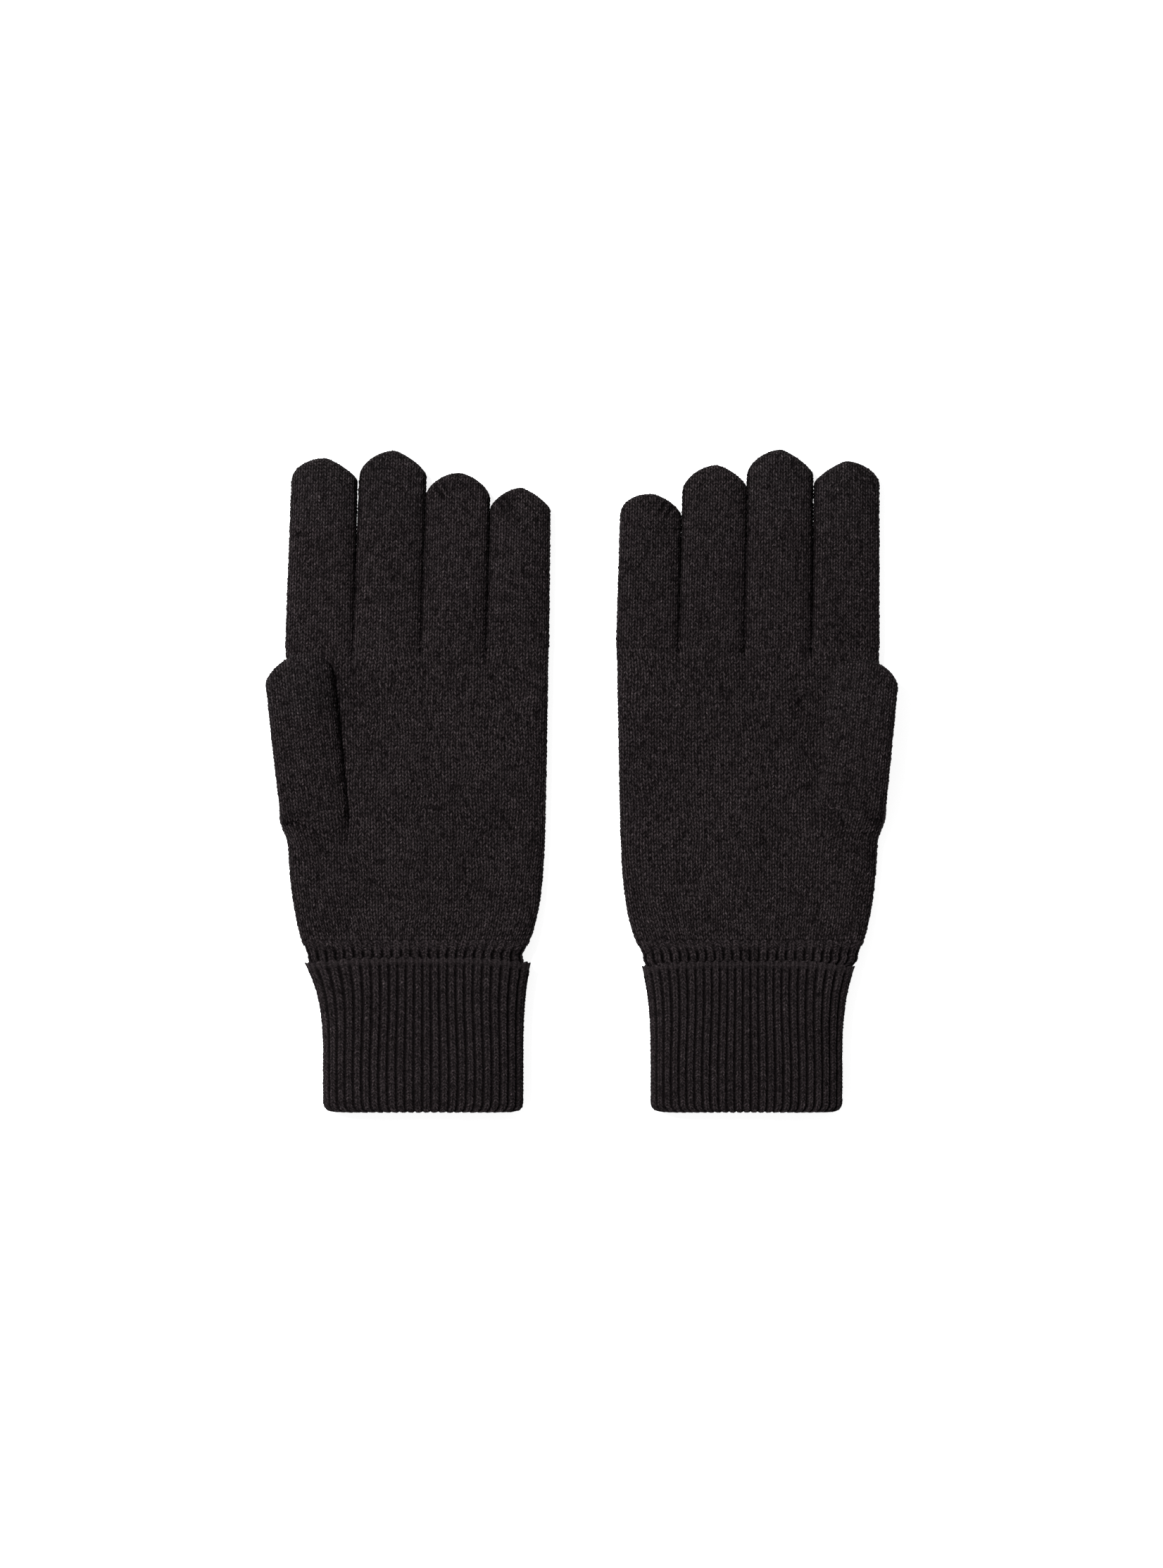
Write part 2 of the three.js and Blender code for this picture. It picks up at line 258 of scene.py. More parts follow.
# %% [markdown]
# ## From grids to meshes
# A shell has an outer skin with the stitches, a plain inner skin and a rim between them. All of it is
# one grid: the rows run up the outside, over the rim and back down the inside. A tube closes its rows
# into a ring. A fingertip instead ends where its front meets its back, so the vertices past that line
# are merged into one seam vertex for each pair of facing columns, and faces that shrink to nothing go.

# %% The faces of a grid
def normals(points):
    """Unit normals of a grid that closes round its columns: step along the rows times step round."""
    along = np.gradient(points, axis=0)
    around = np.roll(points, -1, 1) - np.roll(points, 1, 1)
    n = np.cross(around, along)
    return -n / np.maximum(np.linalg.norm(n, axis=-1, keepdims=True), 1e-12)


def grid_index(rows, columns, merged):
    """Number of the vertex at each place of a grid; where merged, facing columns share one at the end."""
    index = np.arange(rows * columns).reshape(rows, columns)
    if merged is None:
        return index
    facing = np.minimum(np.arange(columns), (columns - np.arange(columns)) % columns)
    first_half = np.arange(rows)[:, None] < rows / 2
    home = np.where(first_half, index[0, facing][None], index[-1, facing][None])
    return np.where(merged, home, index)


def grid_faces(index, uv, mirrored, ring, rims):
    """Corners of all faces, their UV, the corner count of each face, and which faces shade smooth.

    A cell whose corners are four vertices is a quad, one with three is a triangle, the rest are left out."""
    rows, columns = index.shape
    i, j = np.mgrid[0 : rows if ring else rows - 1, 0:columns]
    ci = np.stack([i, i + 1, i + 1, i], -1).reshape(-1, 4)
    cj = np.stack([j, j, j + 1, j + 1], -1).reshape(-1, 4)
    if mirrored:
        ci, cj = ci[:, ::-1], cj[:, ::-1]
    smooth = ~np.isin(i.reshape(-1), rims)
    corner = index[ci % rows, cj % columns]
    corner_uv = uv[ci % rows, cj]
    same = corner == np.roll(corner, -1, 1)
    quads = ~same.any(1)
    thirds = same.sum(1) == 1
    keep = ~same[thirds]
    loops = np.concatenate([corner[quads].ravel(), corner[thirds][keep]])
    loop_uv = np.concatenate([corner_uv[quads].reshape(-1, 2), corner_uv[thirds][keep]])
    sizes = np.concatenate([np.full(quads.sum(), 4), np.full(thirds.sum(), 3)])
    return loops, loop_uv, sizes, np.concatenate([smooth[quads], smooth[thirds]])


cells = grid_faces(grid_index(3, 4, None), np.zeros((3, 5, 2)), False, False, ())[2]
print("a grid of 3 rows and 4 columns has", len(cells), "faces, as only its columns close")

# %% [markdown]
# ## Into the mesh
# foreach_set takes whole arrays, so even a hundred thousand stitches are made at once. The UV map
# carries the knit's own coordinates, and the attribute "crest" the height of the yarn at each vertex, with
# painted shade folded in; the yarn shader paints the gaps darker by it.

# %% Into the mesh
def grid_mesh(name, points, uv, crest, mirrored, ring=True, merged=None, rims=()):
    """Makes a mesh of a grid of points (rows, columns, 3), closed round its columns.

    ring also closes the rows. merged marks vertices that share one vertex per pair of facing columns.
    rims are the rows after which a rim follows; its faces stay flat, so the skin beside it shades well.
    uv is given for one more column than the points have, so that the pattern doesn't run back."""
    index = grid_index(*points.shape[:2], merged)
    loops, loop_uv, sizes, smooth = grid_faces(index, uv, mirrored, ring, rims)
    used, loops = np.unique(loops, return_inverse=True)
    mesh = bpy.data.meshes.new(name)
    mesh.vertices.add(len(used))
    mesh.vertices.foreach_set("co", points.reshape(-1, 3)[used].astype(np.float32).ravel())
    mesh.loops.add(len(loops))
    mesh.loops.foreach_set("vertex_index", loops.astype(np.int32).ravel())
    mesh.polygons.add(len(sizes))
    mesh.polygons.foreach_set("loop_start", np.concatenate([[0], np.cumsum(sizes)[:-1]]).astype(np.int32))
    mesh.polygons.foreach_set("use_smooth", smooth)
    mesh.update(calc_edges=True)
    mesh.uv_layers.new(name="stitches").data.foreach_set("uv", loop_uv.astype(np.float32).ravel())
    lit_share = mesh.attributes.new("crest", "FLOAT", "POINT")
    lit_share.data.foreach_set("value", crest.ravel()[used].astype(np.float32))
    mesh.validate()
    piece = bpy.data.objects.new(name, mesh)
    bpy.context.scene.collection.objects.link(piece)
    return piece


def with_last_column(u, v_rows, wales):
    """UV for the grid and one more column: u counts wales round the tube, v counts courses."""
    across = np.append(u, wales)
    v = np.concatenate([v_rows, v_rows[:, :1]], 1)
    return np.stack([np.broadcast_to(across, v.shape), v], -1)


triangles = {}  # of each finished piece


def finish_piece(piece, material, node):
    """Gives a piece its yarn, hides the plain node it stands for and counts its triangles."""
    piece.data.materials.append(material)
    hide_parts(node)
    triangles[piece.name] = len(piece.data.loops) - 2 * len(piece.data.polygons)


print("UV past the last of 2 columns:", with_last_column(np.arange(2), np.zeros((1, 2)), 2)[0, -1])


# %% [markdown]
# ## The yarn
# The yarn is charcoal black, matt and a little hairy. On a fabric this dark the eye reads three things:
# yarn that faces the light, the black gaps between the legs, and pale specks where single fibres catch
# the light. The grid carries the height of each vertex, and the colour is painted darker by it, so the gaps
# get painted shade; noise at the scale of fibres gives fuzz and the pale specks, which are painted glints,
# and fine slanting lines follow the plies of the yarn along each leg.

# %% The yarn
def add(tree, kind, inputs=None, **settings):
    """A node with its settings and inputs; an input is a socket to link or a value to keep."""
    node = tree.nodes.new(kind)
    for key, value in settings.items():
        setattr(node, key, value)
    for key, value in (inputs or {}).items():
        if isinstance(value, bpy.types.NodeSocket):
            tree.links.new(value, node.inputs[key])
        else:
            node.inputs[key].default_value = value
    return node


def math_node(tree, operation, a, b=0.0):
    """Output of a Math node."""
    return add(tree, "ShaderNodeMath", {0: a, 1: b}, operation=operation).outputs[0]


def map_range(tree, value, low, high, to_low, to_high):
    """Output of a Map Range node: low to high becomes to_low to to_high."""
    inputs = {"Value": value, 1: low, 2: high, 3: to_low, 4: to_high}
    return add(tree, "ShaderNodeMapRange", inputs).outputs[0]


print("node helpers:", [helper.__name__ for helper in (add, math_node, map_range)])

# %% [markdown]
# ## From fibres to colour
# Colour is the mix from the painted shade of the gaps to the crest colour by height^GAP_POWER, times the
# fibres and the slow patches, plus the specks, which are painted glints. The bump adds plies and fibres,
# which are too fine for the grid.

# %% From fibres to colour
FIBRE_SCALE = 1900.0  # of the noise that stands for single fibres, in cells to a metre
# scale of the noise that places the painted glints, which also makes those spots a little less rough
GLINT_NOISE_SCALE = 1300.0
PATCH_SCALE = 28.0
# GAP_POWER: how fast the painted shade of the gaps gives way to the crest colour as the yarn rises
GAP_POWER = 1.5
PLY_TURNS = 2  # lines of plies in one course
PLY_SLANT = 1.6  # how much more they rise than the leg does
FUZZ_DEPTH = 0.12 * MM


def yarn(name, gap, crest, rough, painted_glint):
    """Yarn shader: colour from painted gap shade to crest by height, times slow patches and fibre noise, plus
    painted glints.
    """
    material = bpy.data.materials.new(name)
    material.use_nodes = True
    tree = material.node_tree
    shader = tree.nodes["Principled BSDF"]
    place = add(tree, "ShaderNodeTexCoord").outputs["Object"]
    height = add(tree, "ShaderNodeAttribute", attribute_name="crest").outputs["Fac"]
    uv = add(tree, "ShaderNodeUVMap", uv_map="stitches").outputs[0]
    parts = add(tree, "ShaderNodeSeparateXYZ", {0: uv})

    def noise(scale, detail, roughness=0.6):
        node = add(tree, "ShaderNodeTexNoise", {"Vector": place, "Scale": scale, "Detail": detail})
        node.inputs["Roughness"].default_value = roughness
        return node.outputs["Fac"]

    wale = math_node(tree, "FRACT", parts.outputs[0])
    away = math_node(tree, "ABSOLUTE", math_node(tree, "SUBTRACT", wale, 0.5))
    lean = math_node(tree, "MULTIPLY", away, 2 * SLANT + PLY_SLANT)
    plies = math_node(tree, "SUBTRACT", parts.outputs[1], lean)
    plies = math_node(tree, "SINE", math_node(tree, "MULTIPLY", plies, PLY_TURNS * 2 * np.pi))

    fibre = noise(FIBRE_SCALE, 4.0, 0.75)
    glint_noise = noise(GLINT_NOISE_SCALE, 2.0, 0.5)
    # painted shade: the colour runs from the dark gap colour to the crest colour by the height of the yarn
    lit_share = math_node(tree, "POWER", math_node(tree, "MAXIMUM", height, 0.0), GAP_POWER)
    base = add(tree, "ShaderNodeMix", {"Factor": lit_share, "A": gap, "B": crest}, data_type="RGBA")
    spread = map_range(tree, fibre, 0.37, 0.66, 0.22, 2.1)
    slow = map_range(tree, noise(PATCH_SCALE, 2.0), 0.3, 0.7, 0.9, 1.1)
    # painted highlight: pale specks of glint on the crests, where fibres would catch the light
    glint = math_node(tree, "MULTIPLY", map_range(tree, glint_noise, 0.56, 0.72, 0.0, painted_glint), lit_share)
    gain = math_node(tree, "ADD", math_node(tree, "MULTIPLY", spread, slow), glint)
    colour = add(tree, "ShaderNodeVectorMath", {0: base.outputs["Result"], "Scale": gain}, operation="SCALE")
    tree.links.new(colour.outputs[0], shader.inputs["Base Color"])

    ply_part = math_node(tree, "MULTIPLY", plies, 0.35)
    fuzz = math_node(tree, "ADD", ply_part, math_node(tree, "MULTIPLY", fibre, 1.6))
    bump = add(tree, "ShaderNodeBump", {"Height": fuzz, "Strength": 0.55, "Distance": FUZZ_DEPTH})
    tree.links.new(bump.outputs[0], shader.inputs["Normal"])
    tree.links.new(map_range(tree, glint_noise, 0.3, 0.7, rough, rough - 0.12), shader.inputs["Roughness"])
    shader.inputs["Specular IOR Level"].default_value = 0.03
    return material


JERSEY = yarn("charcoal jersey", (0.0016, 0.0011, 0.0012, 1), (0.0256, 0.0208, 0.0219, 1), 0.92, 1.6)
RIB = yarn("charcoal rib", (0.0013, 0.0009, 0.0010, 1), (0.0206, 0.0165, 0.0176, 1), 0.93, 1.5)
TOUCH = yarn("touch yarn", (0.0016, 0.0011, 0.0012, 1), (0.0250, 0.0207, 0.0218, 1), 0.82, 2.0)
for material in (JERSEY, RIB, TOUCH):
    print(material.name, "with", len(material.node_tree.nodes), "nodes")

# %% [markdown]
# ## The hand
# The hand is one flattened tube from the wrist to the crotch line. Its front and back are each a height
# over the plan: flat in the middle and rounded over at the two folds. Near the crotch line the heights
# sink between the fingers, until front and back meet there and close the web. On the palm side a low
# mound rises towards the thumb, where the thumb's own tube takes over.

# %% The outline of the hand
LITTLE_SLANT = 2.0 * MM  # how far the edge of the little finger leans in on its way to the wrist
LITTLE_WAIST = 7.4 * MM  # how far each edge is drawn in at the wrist
THUMB_WAIST = 7.7 * MM
THUMB_HEEL = 24 * MM  # length of the sloping root of the thumb, below its crotch
THUMB_RISE = 18 * MM  # length over which the thumb climbs on, above its crotch
THUMB_SUNK = 3.9 * MM  # level of the middle of the thumb tube at its heel
THUMB_DROOP = 2.2 * MM  # how much lower the fold of the thumb that lies on the palm is
THUMB_FOLD = 4.6  # exponent of the folds at the two sides of the thumb, which are pressed sharper


def power_for(half_width):
    """Exponent that keeps the fold at the side about as wide on a narrow tube as on a wide one."""
    return np.maximum(2.4, 0.95 * half_width / EDGE_WIDTH)


def thumb_facts(facts):
    """Crotch point, direction, half width and half height of the thumb tube, in the glove's frame."""
    side = facts["side"]
    root = to_glove(facts, JOINTS[f"{side}_thumb_root"]["pos_m"])
    knuckle = to_glove(facts, JOINTS[f"{side}_thumb_knuckle"]["pos_m"])
    along = (knuckle - root)[:2] / np.linalg.norm((knuckle - root)[:2])
    low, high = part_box(f"{side}_thumb_lower")
    half_height = (high.z - low.z) / 2
    back = half_height + 0.3 * MM
    tip = to_glove(facts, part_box(f"{side}_thumb_touch_tip")[1])[1]
    length = (tip - root[1]) / along[1] + back
    slant = abs(along[0]) / along[1] * (high.y - low.y)
    return {
        "crotch": root[:2] - along * back,
        "along": along,
        "across": np.array([along[1], -along[0]]),
        "root": back,
        "knuckle": np.linalg.norm((knuckle - root)[:2]) + back,
        "half_width": (high.x - low.x - slant) / 2 * along[1],
        "half_height": half_height,
        "level": root[2],
        "length": length,
        "fold": THUMB_FOLD,
    }


def thumb_level(thumb, along):
    """Height of the middle of the thumb tube: an ease from the heel in the palm up to its own level."""
    return THUMB_SUNK + (thumb["level"] - THUMB_SUNK) * ease((along + THUMB_HEEL) / (THUMB_HEEL + THUMB_RISE))


def finger_spans(facts):
    """Middle and half width of each finger at the crotch line, in the glove's frame."""
    spans = []
    for finger in FINGERS:
        root = to_glove(facts, JOINTS[f"{facts['side']}_{finger}_root"]["pos_m"])
        low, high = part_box(f"{facts['side']}_{finger}_lower")
        spans.append((root[0], (high.x - low.x) / 2))
    return spans


def hand_edges(facts, y):
    """Little-finger edge and thumb edge of the hand at height y.

    Both are straight and drawn in at the wrist, by the 8th and the 6th power of the share down."""
    down = np.clip(-y / facts["length"], 0, 1.06)
    little = -LITTLE_SLANT * down - LITTLE_WAIST * down**8
    return little, -facts["palm_width"] + THUMB_WAIST * down**6


for facts in GLOVES:
    thumb = thumb_facts(facts)
    print(facts["side"], "thumb:", {key: np.round(value, 4).tolist() for key, value in thumb.items()})

# %% [markdown]
# ## The skin of the hand
# Each point starts as a place across and a height y, and gets its level from the front's and the back's
# own height: profile times half the thickness, more where the rib swells the wrist, less at the web.

# %% The skin of the hand
LIFT_LENGTH = 17.5 * MM  # length over which the back lifts off the table towards the cuff
SWELL_LENGTH = 27 * MM  # length over which the front rises to the cuff
PINCH_LENGTH = 7 * MM  # length over which the web closes
EDGE_BULGE = 2.9 * MM  # how far the thumb pushes the edge of the palm out at its crotch
BULGE_RISE = 12 * MM  # lengths of that bulge below and above the crotch of the thumb
BULGE_FALL = 6 * MM
CROWN = 0.5 * MM  # height of the slow waves of the palm
CROWN_ENDS = 12 * MM  # length over which they fade at the wrist and at the web
HEEL_TAPER = 0.16  # how much narrower the thumb is at its heel
CROTCH_DROP = 0.6  # how steeply the palm leaves the thumb above the crotch
THUMB_FILLET = 1.2 * MM


def hand_surface(facts, thumb, across, front, y, inset):
    """Points of the hand: plan from its two edges, height from its section, its pinches and the mound.

    The height is half the thickness times the profile, which turns into one lobe for each finger at
    the web. The mound is the thumb's own tube, joined to the palm by a fillet.
    across runs from -1 at the thumb edge to 1 at the little finger, front is 1 on the palm and -1 on
    the back, and inset moves the whole skin inwards for the inner side of the cloth."""
    little, outer = hand_edges(facts, y)
    half_width = (little - outer) / 2 - inset
    x = (little + outer) / 2 + across * half_width
    up = y - thumb["crotch"][1]
    bulge = ease((up + MM + BULGE_RISE) / BULGE_RISE) * (1 - ease((up - MM) / BULGE_FALL))
    x = x - EDGE_BULGE * bulge * ease((-across - 0.5) / 0.5)
    wrist = -facts["length"]
    under = facts["lift"] * ease((wrist + LIFT_LENGTH - y) / LIFT_LENGTH)
    over = facts["thickness"] + facts["lift"] * ease((wrist + SWELL_LENGTH - y) / SWELL_LENGTH)
    middle = (under + over) / 2
    half = (over - under) / 2 - inset
    fold = profile(across, power_for(half_width))
    if inset == 0:
        pinch = ease((y + PINCH_LENGTH) / PINCH_LENGTH) ** 2
        lobes = np.zeros_like(x)
        for centre, width in finger_spans(facts):
            lobes = np.maximum(lobes, profile(np.clip((x - centre) / width, -1, 1), power_for(width)))
        fold = fold * (1 - pinch) + lobes * pinch
        ends = ease((y - wrist) / CROWN_ENDS) * ease(-y / CROWN_ENDS)
        crown = CROWN * slow_waves(x, y, 11 + facts["sign"]) * ends
        half = half + np.where(front > 0, crown, 0)
    height = half * fold
    a = (x - thumb["crotch"][0]) * thumb["along"][0] + (y - thumb["crotch"][1]) * thumb["along"][1]
    b = (x - thumb["crotch"][0]) * thumb["across"][0] + (y - thumb["crotch"][1]) * thumb["across"][1]
    width = thumb["half_width"] * (1 - HEEL_TAPER * ease(-a / THUMB_HEEL))
    inner_side = profile(np.clip(b / width, 0, 1), thumb["fold"])
    top = thumb_level(thumb, a) + thumb["half_height"] * inner_side - middle - inset
    top = np.where(b < width, top, 0) - CROTCH_DROP * np.maximum(a, 0)
    mound = soft_max(top, half, THUMB_FILLET) - half
    mound = mound * ease((a + THUMB_HEEL + 6 * MM) / (10 * MM))
    height = height + np.where(front > 0, mound * fold, 0)
    return np.stack([x, y, middle + front * height], -1)


edge = hand_surface(GLOVES[0], thumb_facts(GLOVES[0]), np.array([-1.0, 1.0]), 1, np.full(2, -50 * MM), 0)
print("edges of the left hand half way down:", np.round(edge / MM, 1).tolist())

# %% [markdown]
# ## Knitting the hand
# The stitch grid is laid on that surface and moved along its normals by the height of the yarn. A
# coarse inner skin one wall further in makes it cloth with a thickness. The hand is two pieces, cut
# between two courses, so that neither gets too many faces.

# %% Knitting the hand
HAND_SPLIT = 42  # courses from the wrist to the line where the two pieces meet
JERSEY_START = 3.6 * MM  # above the wrist line, where the first course of jersey lies
INNER_TONE = 0.6  # brightness of the plain inner skin


def hand_skin(facts, first, last, wrist_course):
    """Outer and inner skin of a stretch of the hand, as one grid whose rows close into a ring."""
    thumb = thumb_facts(facts)
    half = facts["thickness"] / 2
    mean_width = facts["palm_width"] / 2
    share, place, around = ring_table(mean_width, half, power_for(mean_width))
    wales = 2 * int(round(around / PALM_WALE / 2))
    seed = 5 + first + facts["sign"]
    u, v, relief, v_grid = stitch_grid(wales, first, last, seed, square=first == 0)
    wobble = wander(u[None], v_grid, wales, 3 + facts["sign"])

    def skin(v_rows, drift, inset):
        way = ((u[None] + drift) / wales) % 1
        y = wrist_course["start"] + v_rows * wrist_course["step"]
        front = np.where(way < 0.5, 1.0, -1.0)
        return hand_surface(facts, thumb, np.interp(way, share, place), front, y, inset)

    outer = skin(v_grid, wobble, 0)
    outer = outer + normals(outer) * ((relief - MEAN_HEIGHT) * STITCH_HEIGHT)[..., None]
    picks = np.linspace(0, len(v) - 1, 2 + int(last - first) // 4).round().astype(int)[::-1]
    inner = skin(v_grid[picks], wobble[picks], WALL)
    if last == wrist_course["rows"]:
        inner[..., 1] = np.minimum(inner[..., 1], -PINCH_LENGTH)
    points = np.concatenate([outer, inner])
    # the height of the yarn goes to the shader, which paints shade into the gaps by it
    crest = np.concatenate([relief, np.full(inner.shape[:2], INNER_TONE)])
    v_all = np.concatenate([v_grid, v_grid[picks]])
    rims = (len(outer) - 1, len(points) - 1)
    return to_pair(facts, points), with_last_column(u, v_all, wales), crest, rims


for facts in GLOVES:
    side = facts["side"]
    start = -facts["length"] + JERSEY_START
    rows = int(round(-start / PALM_COURSE))
    course = {"start": start, "step": -start / rows, "rows": rows}
    parts = (("heel", "thumb_gusset", 0, HAND_SPLIT), ("palm", "hand", HAND_SPLIT, rows))
    for part, node, first, last in parts:
        points, uv, crest, rims = hand_skin(facts, first, last, course)
        piece = grid_mesh(f"{side}_{part}_knit", points, uv, crest, facts["sign"] < 0, rims=rims)
        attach(piece, "hands")
        finish_piece(piece, JERSEY, f"{side}_{node}")
print("triangles:", triangles)

# %% [markdown]
# ## Fingers and thumbs
# A finger is a flattened tube that is closed across its tip, front to back, along a slightly pointed
# line. Its wales run straight up to that line and end there, which is how a machine closes a tip. So a
# column keeps its place across the finger, climbs by equal lengths of cloth, and stops at the line. Each
# digit is three or two pieces, cut between two rows of stitches, where the yarn changes or a joint bends.

# %% Sizes of the digits
DIGITS = FINGERS + ["thumb"]


def per_digit(*values):
    """One value for each digit, from the little finger to the thumb."""
    return dict(zip(DIGITS, values))


CAP_HEIGHT = per_digit(8.4 * MM, 9.6 * MM, 9.4 * MM, 8.4 * MM, 9.5 * MM)
CAP_POWER = {  # roundness of the closed line towards the thumb and towards the little finger
    "left": per_digit((1.6, 1.3), (1.8, 1.6), (1.75, 1.35), (2.0, 1.3), (1.45, 2.6)),
    "right": per_digit((1.5, 2.2), (1.45, 1.7), (1.3, 1.7), (1.7, 1.3), (1.8, 2.6)),
}
SNUG = 0.42 * MM  # knit that fills the gap between two neighbouring fingers
SNUG_TIP = {  # the same at the tip, where some fingers lean on each other and some stand apart
    "left": per_digit(-0.05 * MM, 0.15 * MM, 0.0 * MM, -0.15 * MM),
    "right": per_digit(0.15 * MM, 0.25 * MM, 0.0 * MM, -0.15 * MM),
}
TIP_PLUMP = 0.7 * MM  # how far the knit of a tip stands past its plain solid


def finger_facts(facts, finger):
    """Root, direction, widths, length and joint places of one finger, in the glove's frame."""
    side = facts["side"]
    tip = {"cap": CAP_HEIGHT[finger], "power": CAP_POWER[side][finger]}
    if finger == "thumb":
        return {**thumb_facts(facts), **tip, "taper": 0.0}
    root = to_glove(facts, JOINTS[f"{side}_{finger}_root"]["pos_m"])
    knuckle = to_glove(facts, JOINTS[f"{side}_{finger}_knuckle"]["pos_m"])
    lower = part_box(f"{side}_{finger}_lower")
    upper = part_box(f"{side}_{finger}_upper")
    touch_tip = f"{side}_{finger}_touch_tip"
    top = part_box(touch_tip)[1] if touch_tip in frame["nodes"] else upper[1]
    along = (knuckle - root)[:2] / np.linalg.norm((knuckle - root)[:2])
    wide = (lower[1].x - lower[0].x) / 2 + SNUG
    return {
        **tip,
        "crotch": np.array([root[0] - along[0] / along[1] * root[1], 0.0]),
        "along": np.array([along[0] / along[1], 1.0]),
        "across": np.array([1.0, 0.0]),
        "root": root[1],
        "knuckle": knuckle[1],
        "half_width": wide,
        "half_height": facts["thickness"] / 2,
        "level": root[2],
        "fold": power_for(wide),
        "length": to_glove(facts, top)[1] + TIP_PLUMP,
        "taper": wide - (upper[1].x - upper[0].x) / 2 - SNUG_TIP[side][finger],
    }


for facts in GLOVES:
    lengths = {finger: round(finger_facts(facts, finger)["length"] / MM, 1) for finger in DIGITS}
    print(facts["side"], "lengths from the crotch in mm:", lengths)

# %% [markdown]
# ## The closed tip
# Cloth has a length of its own. A column of stitches climbs the front of the cap, whose section is
# known, so its path is measured in small steps and each stitch is put where that much cloth is used up.

# %% The closed tip
CAP_STEPS = 160  # steps of the measured path over the cap


def climb(digit, across, way_up, inset):
    """How far along the finger a point of a column is after climbing way_up of cloth, and where it ends.

    Past the start of the cap the front follows z = half height * (1 - F^k)^(1/m), where F is the sum of
    the shares across and along, each to the power of the cap, so that F = 1 is the closed line."""
    outer_side, inner_side = digit["power"]
    power = outer_side + (inner_side - outer_side) * ease((across + 0.2) / 0.4)
    start = digit["length"] - digit["cap"]
    cap = digit["cap"] - inset
    across = np.clip(np.abs(across), 0, 1)
    end = cap * np.clip(1 - across**power, 0, 1) ** (1 / power)
    y = np.sin(np.linspace(0, np.pi / 2, CAP_STEPS))[:, None] * end
    k = digit["fold"] / power
    share = np.clip(across[None] ** power + (y / cap) ** power, 0, 1)
    z = (digit["half_height"] - inset) * np.clip(1 - share**k, 0, 1) ** (1 / EDGE_POWER)
    steps = np.hypot(np.diff(y, axis=0), np.diff(z, axis=0))
    length = np.concatenate([np.zeros((1, len(across))), np.cumsum(steps, 0)])
    past = way_up - start
    columns = range(len(across))
    y_cap = np.stack([np.interp(past[:, c], length[:, c], y[:, c]) for c in columns], 1)
    z_cap = np.stack([np.interp(past[:, c], length[:, c], z[:, c]) for c in columns], 1)
    flat = (digit["half_height"] - inset) * profile(across, digit["fold"])[None]
    left = length[-1][None] - past
    return np.where(past > 0, start + y_cap, way_up), np.where(past > 0, z_cap, flat), left


example = finger_facts(GLOVES[0], "middle")
_, _, left = climb(example, np.array([0.0, 0.8]), np.zeros((1, 2)), 0)
print("cloth of a middle finger, at its middle and near its side, in mm:", np.round(left[0] / MM, 1))

# %% [markdown]
# ## The skin of a digit
# The tube is placed by its own axes, tapers towards the tip and is a little wavy, as empty cloth is. On
# the palm side the closed tip is drawn into small gathers beside its point.

# %% The skin of a digit
WAVY = 0.07  # how much the thickness varies, as a share
WAVY_START = 10 * MM
TUCK_DEPTH = 0.32 * MM  # how deep the first rows of a digit lie under the last rows of the hand
GATHER_DEPTH = 0.8 * MM
GATHER_SHARE = {
    "left": per_digit(1.0, 1.0, 0.4, 0.3, 0.3),
    "right": per_digit(0.7, 0.3, 0.2, 0.2, 0.3),
}
GATHER_REACH = 3.6 * MM  # how far the gathers reach
GATHER_PITCH = 3.1 * MM


def digit_surface(facts, digit, finger, across, front, way_up, inset):
    """Points of a finger in the glove's frame, the cloth left to its closed line, and its gathers.

    The gathers are a slanting sine of GATHER_PITCH times exp(-d^2), where d counts GATHER_REACH from
    a point half way out to the side of the thumb and three quarters of the cap below the end."""
    y, z, left = climb(digit, across, way_up, inset)
    half_width = digit["half_width"] - inset - digit["taper"] * np.clip(y / digit["length"], 0, 1)
    sunk = TUCK_DEPTH * ease((SLANT * FINGER_COURSE - y) / FINGER_COURSE)
    half_width = half_width - sunk
    z = z - sunk * profile(across, 6)
    x = across[None] * half_width
    waves = slow_waves(x, y, len(finger) * 7 + facts["sign"] + int(digit["length"] / MM))
    on_palm_side = front[None] > 0
    z = z * (1 + WAVY * waves * on_palm_side * ease(y / WAVY_START))
    gather = np.hypot(x + 0.5 * half_width, y - digit["length"] + 0.75 * digit["cap"]) / GATHER_REACH
    pleats = np.sin((0.8 * x + 0.6 * (y - digit["length"])) * 2 * np.pi / GATHER_PITCH) - 0.5
    pleats = pleats * np.exp(-(gather**2)) * on_palm_side * GATHER_SHARE[facts["side"]][finger]
    z = z + GATHER_DEPTH * pleats
    level = digit["level"]
    if finger == "thumb":
        droop = THUMB_DROOP * ease((across[None] + 0.1) / 1.1) * ease((y + 2 * MM) / (12 * MM))
        level = thumb_level(digit, y) - droop
    plan = digit["crotch"] + y[..., None] * digit["along"] + x[..., None] * digit["across"]
    return np.stack([plan[..., 0], plan[..., 1], level + front[None] * z], -1), left, pleats


point = digit_surface(GLOVES[0], example, "middle", np.zeros(1), np.ones(1), np.full((1, 1), 30 * MM), 0)[0]
print("front of the left middle finger, 30 mm up, in mm:", np.round(point.ravel() / MM, 1))

# %% [markdown]
# ## Knitting a digit
# The same stitch grid goes round the tube. Cloth that is pressed against a neighbour, drawn into a
# gather or tucked under the hand gets a lower crest value, as little light reaches it: painted shade.

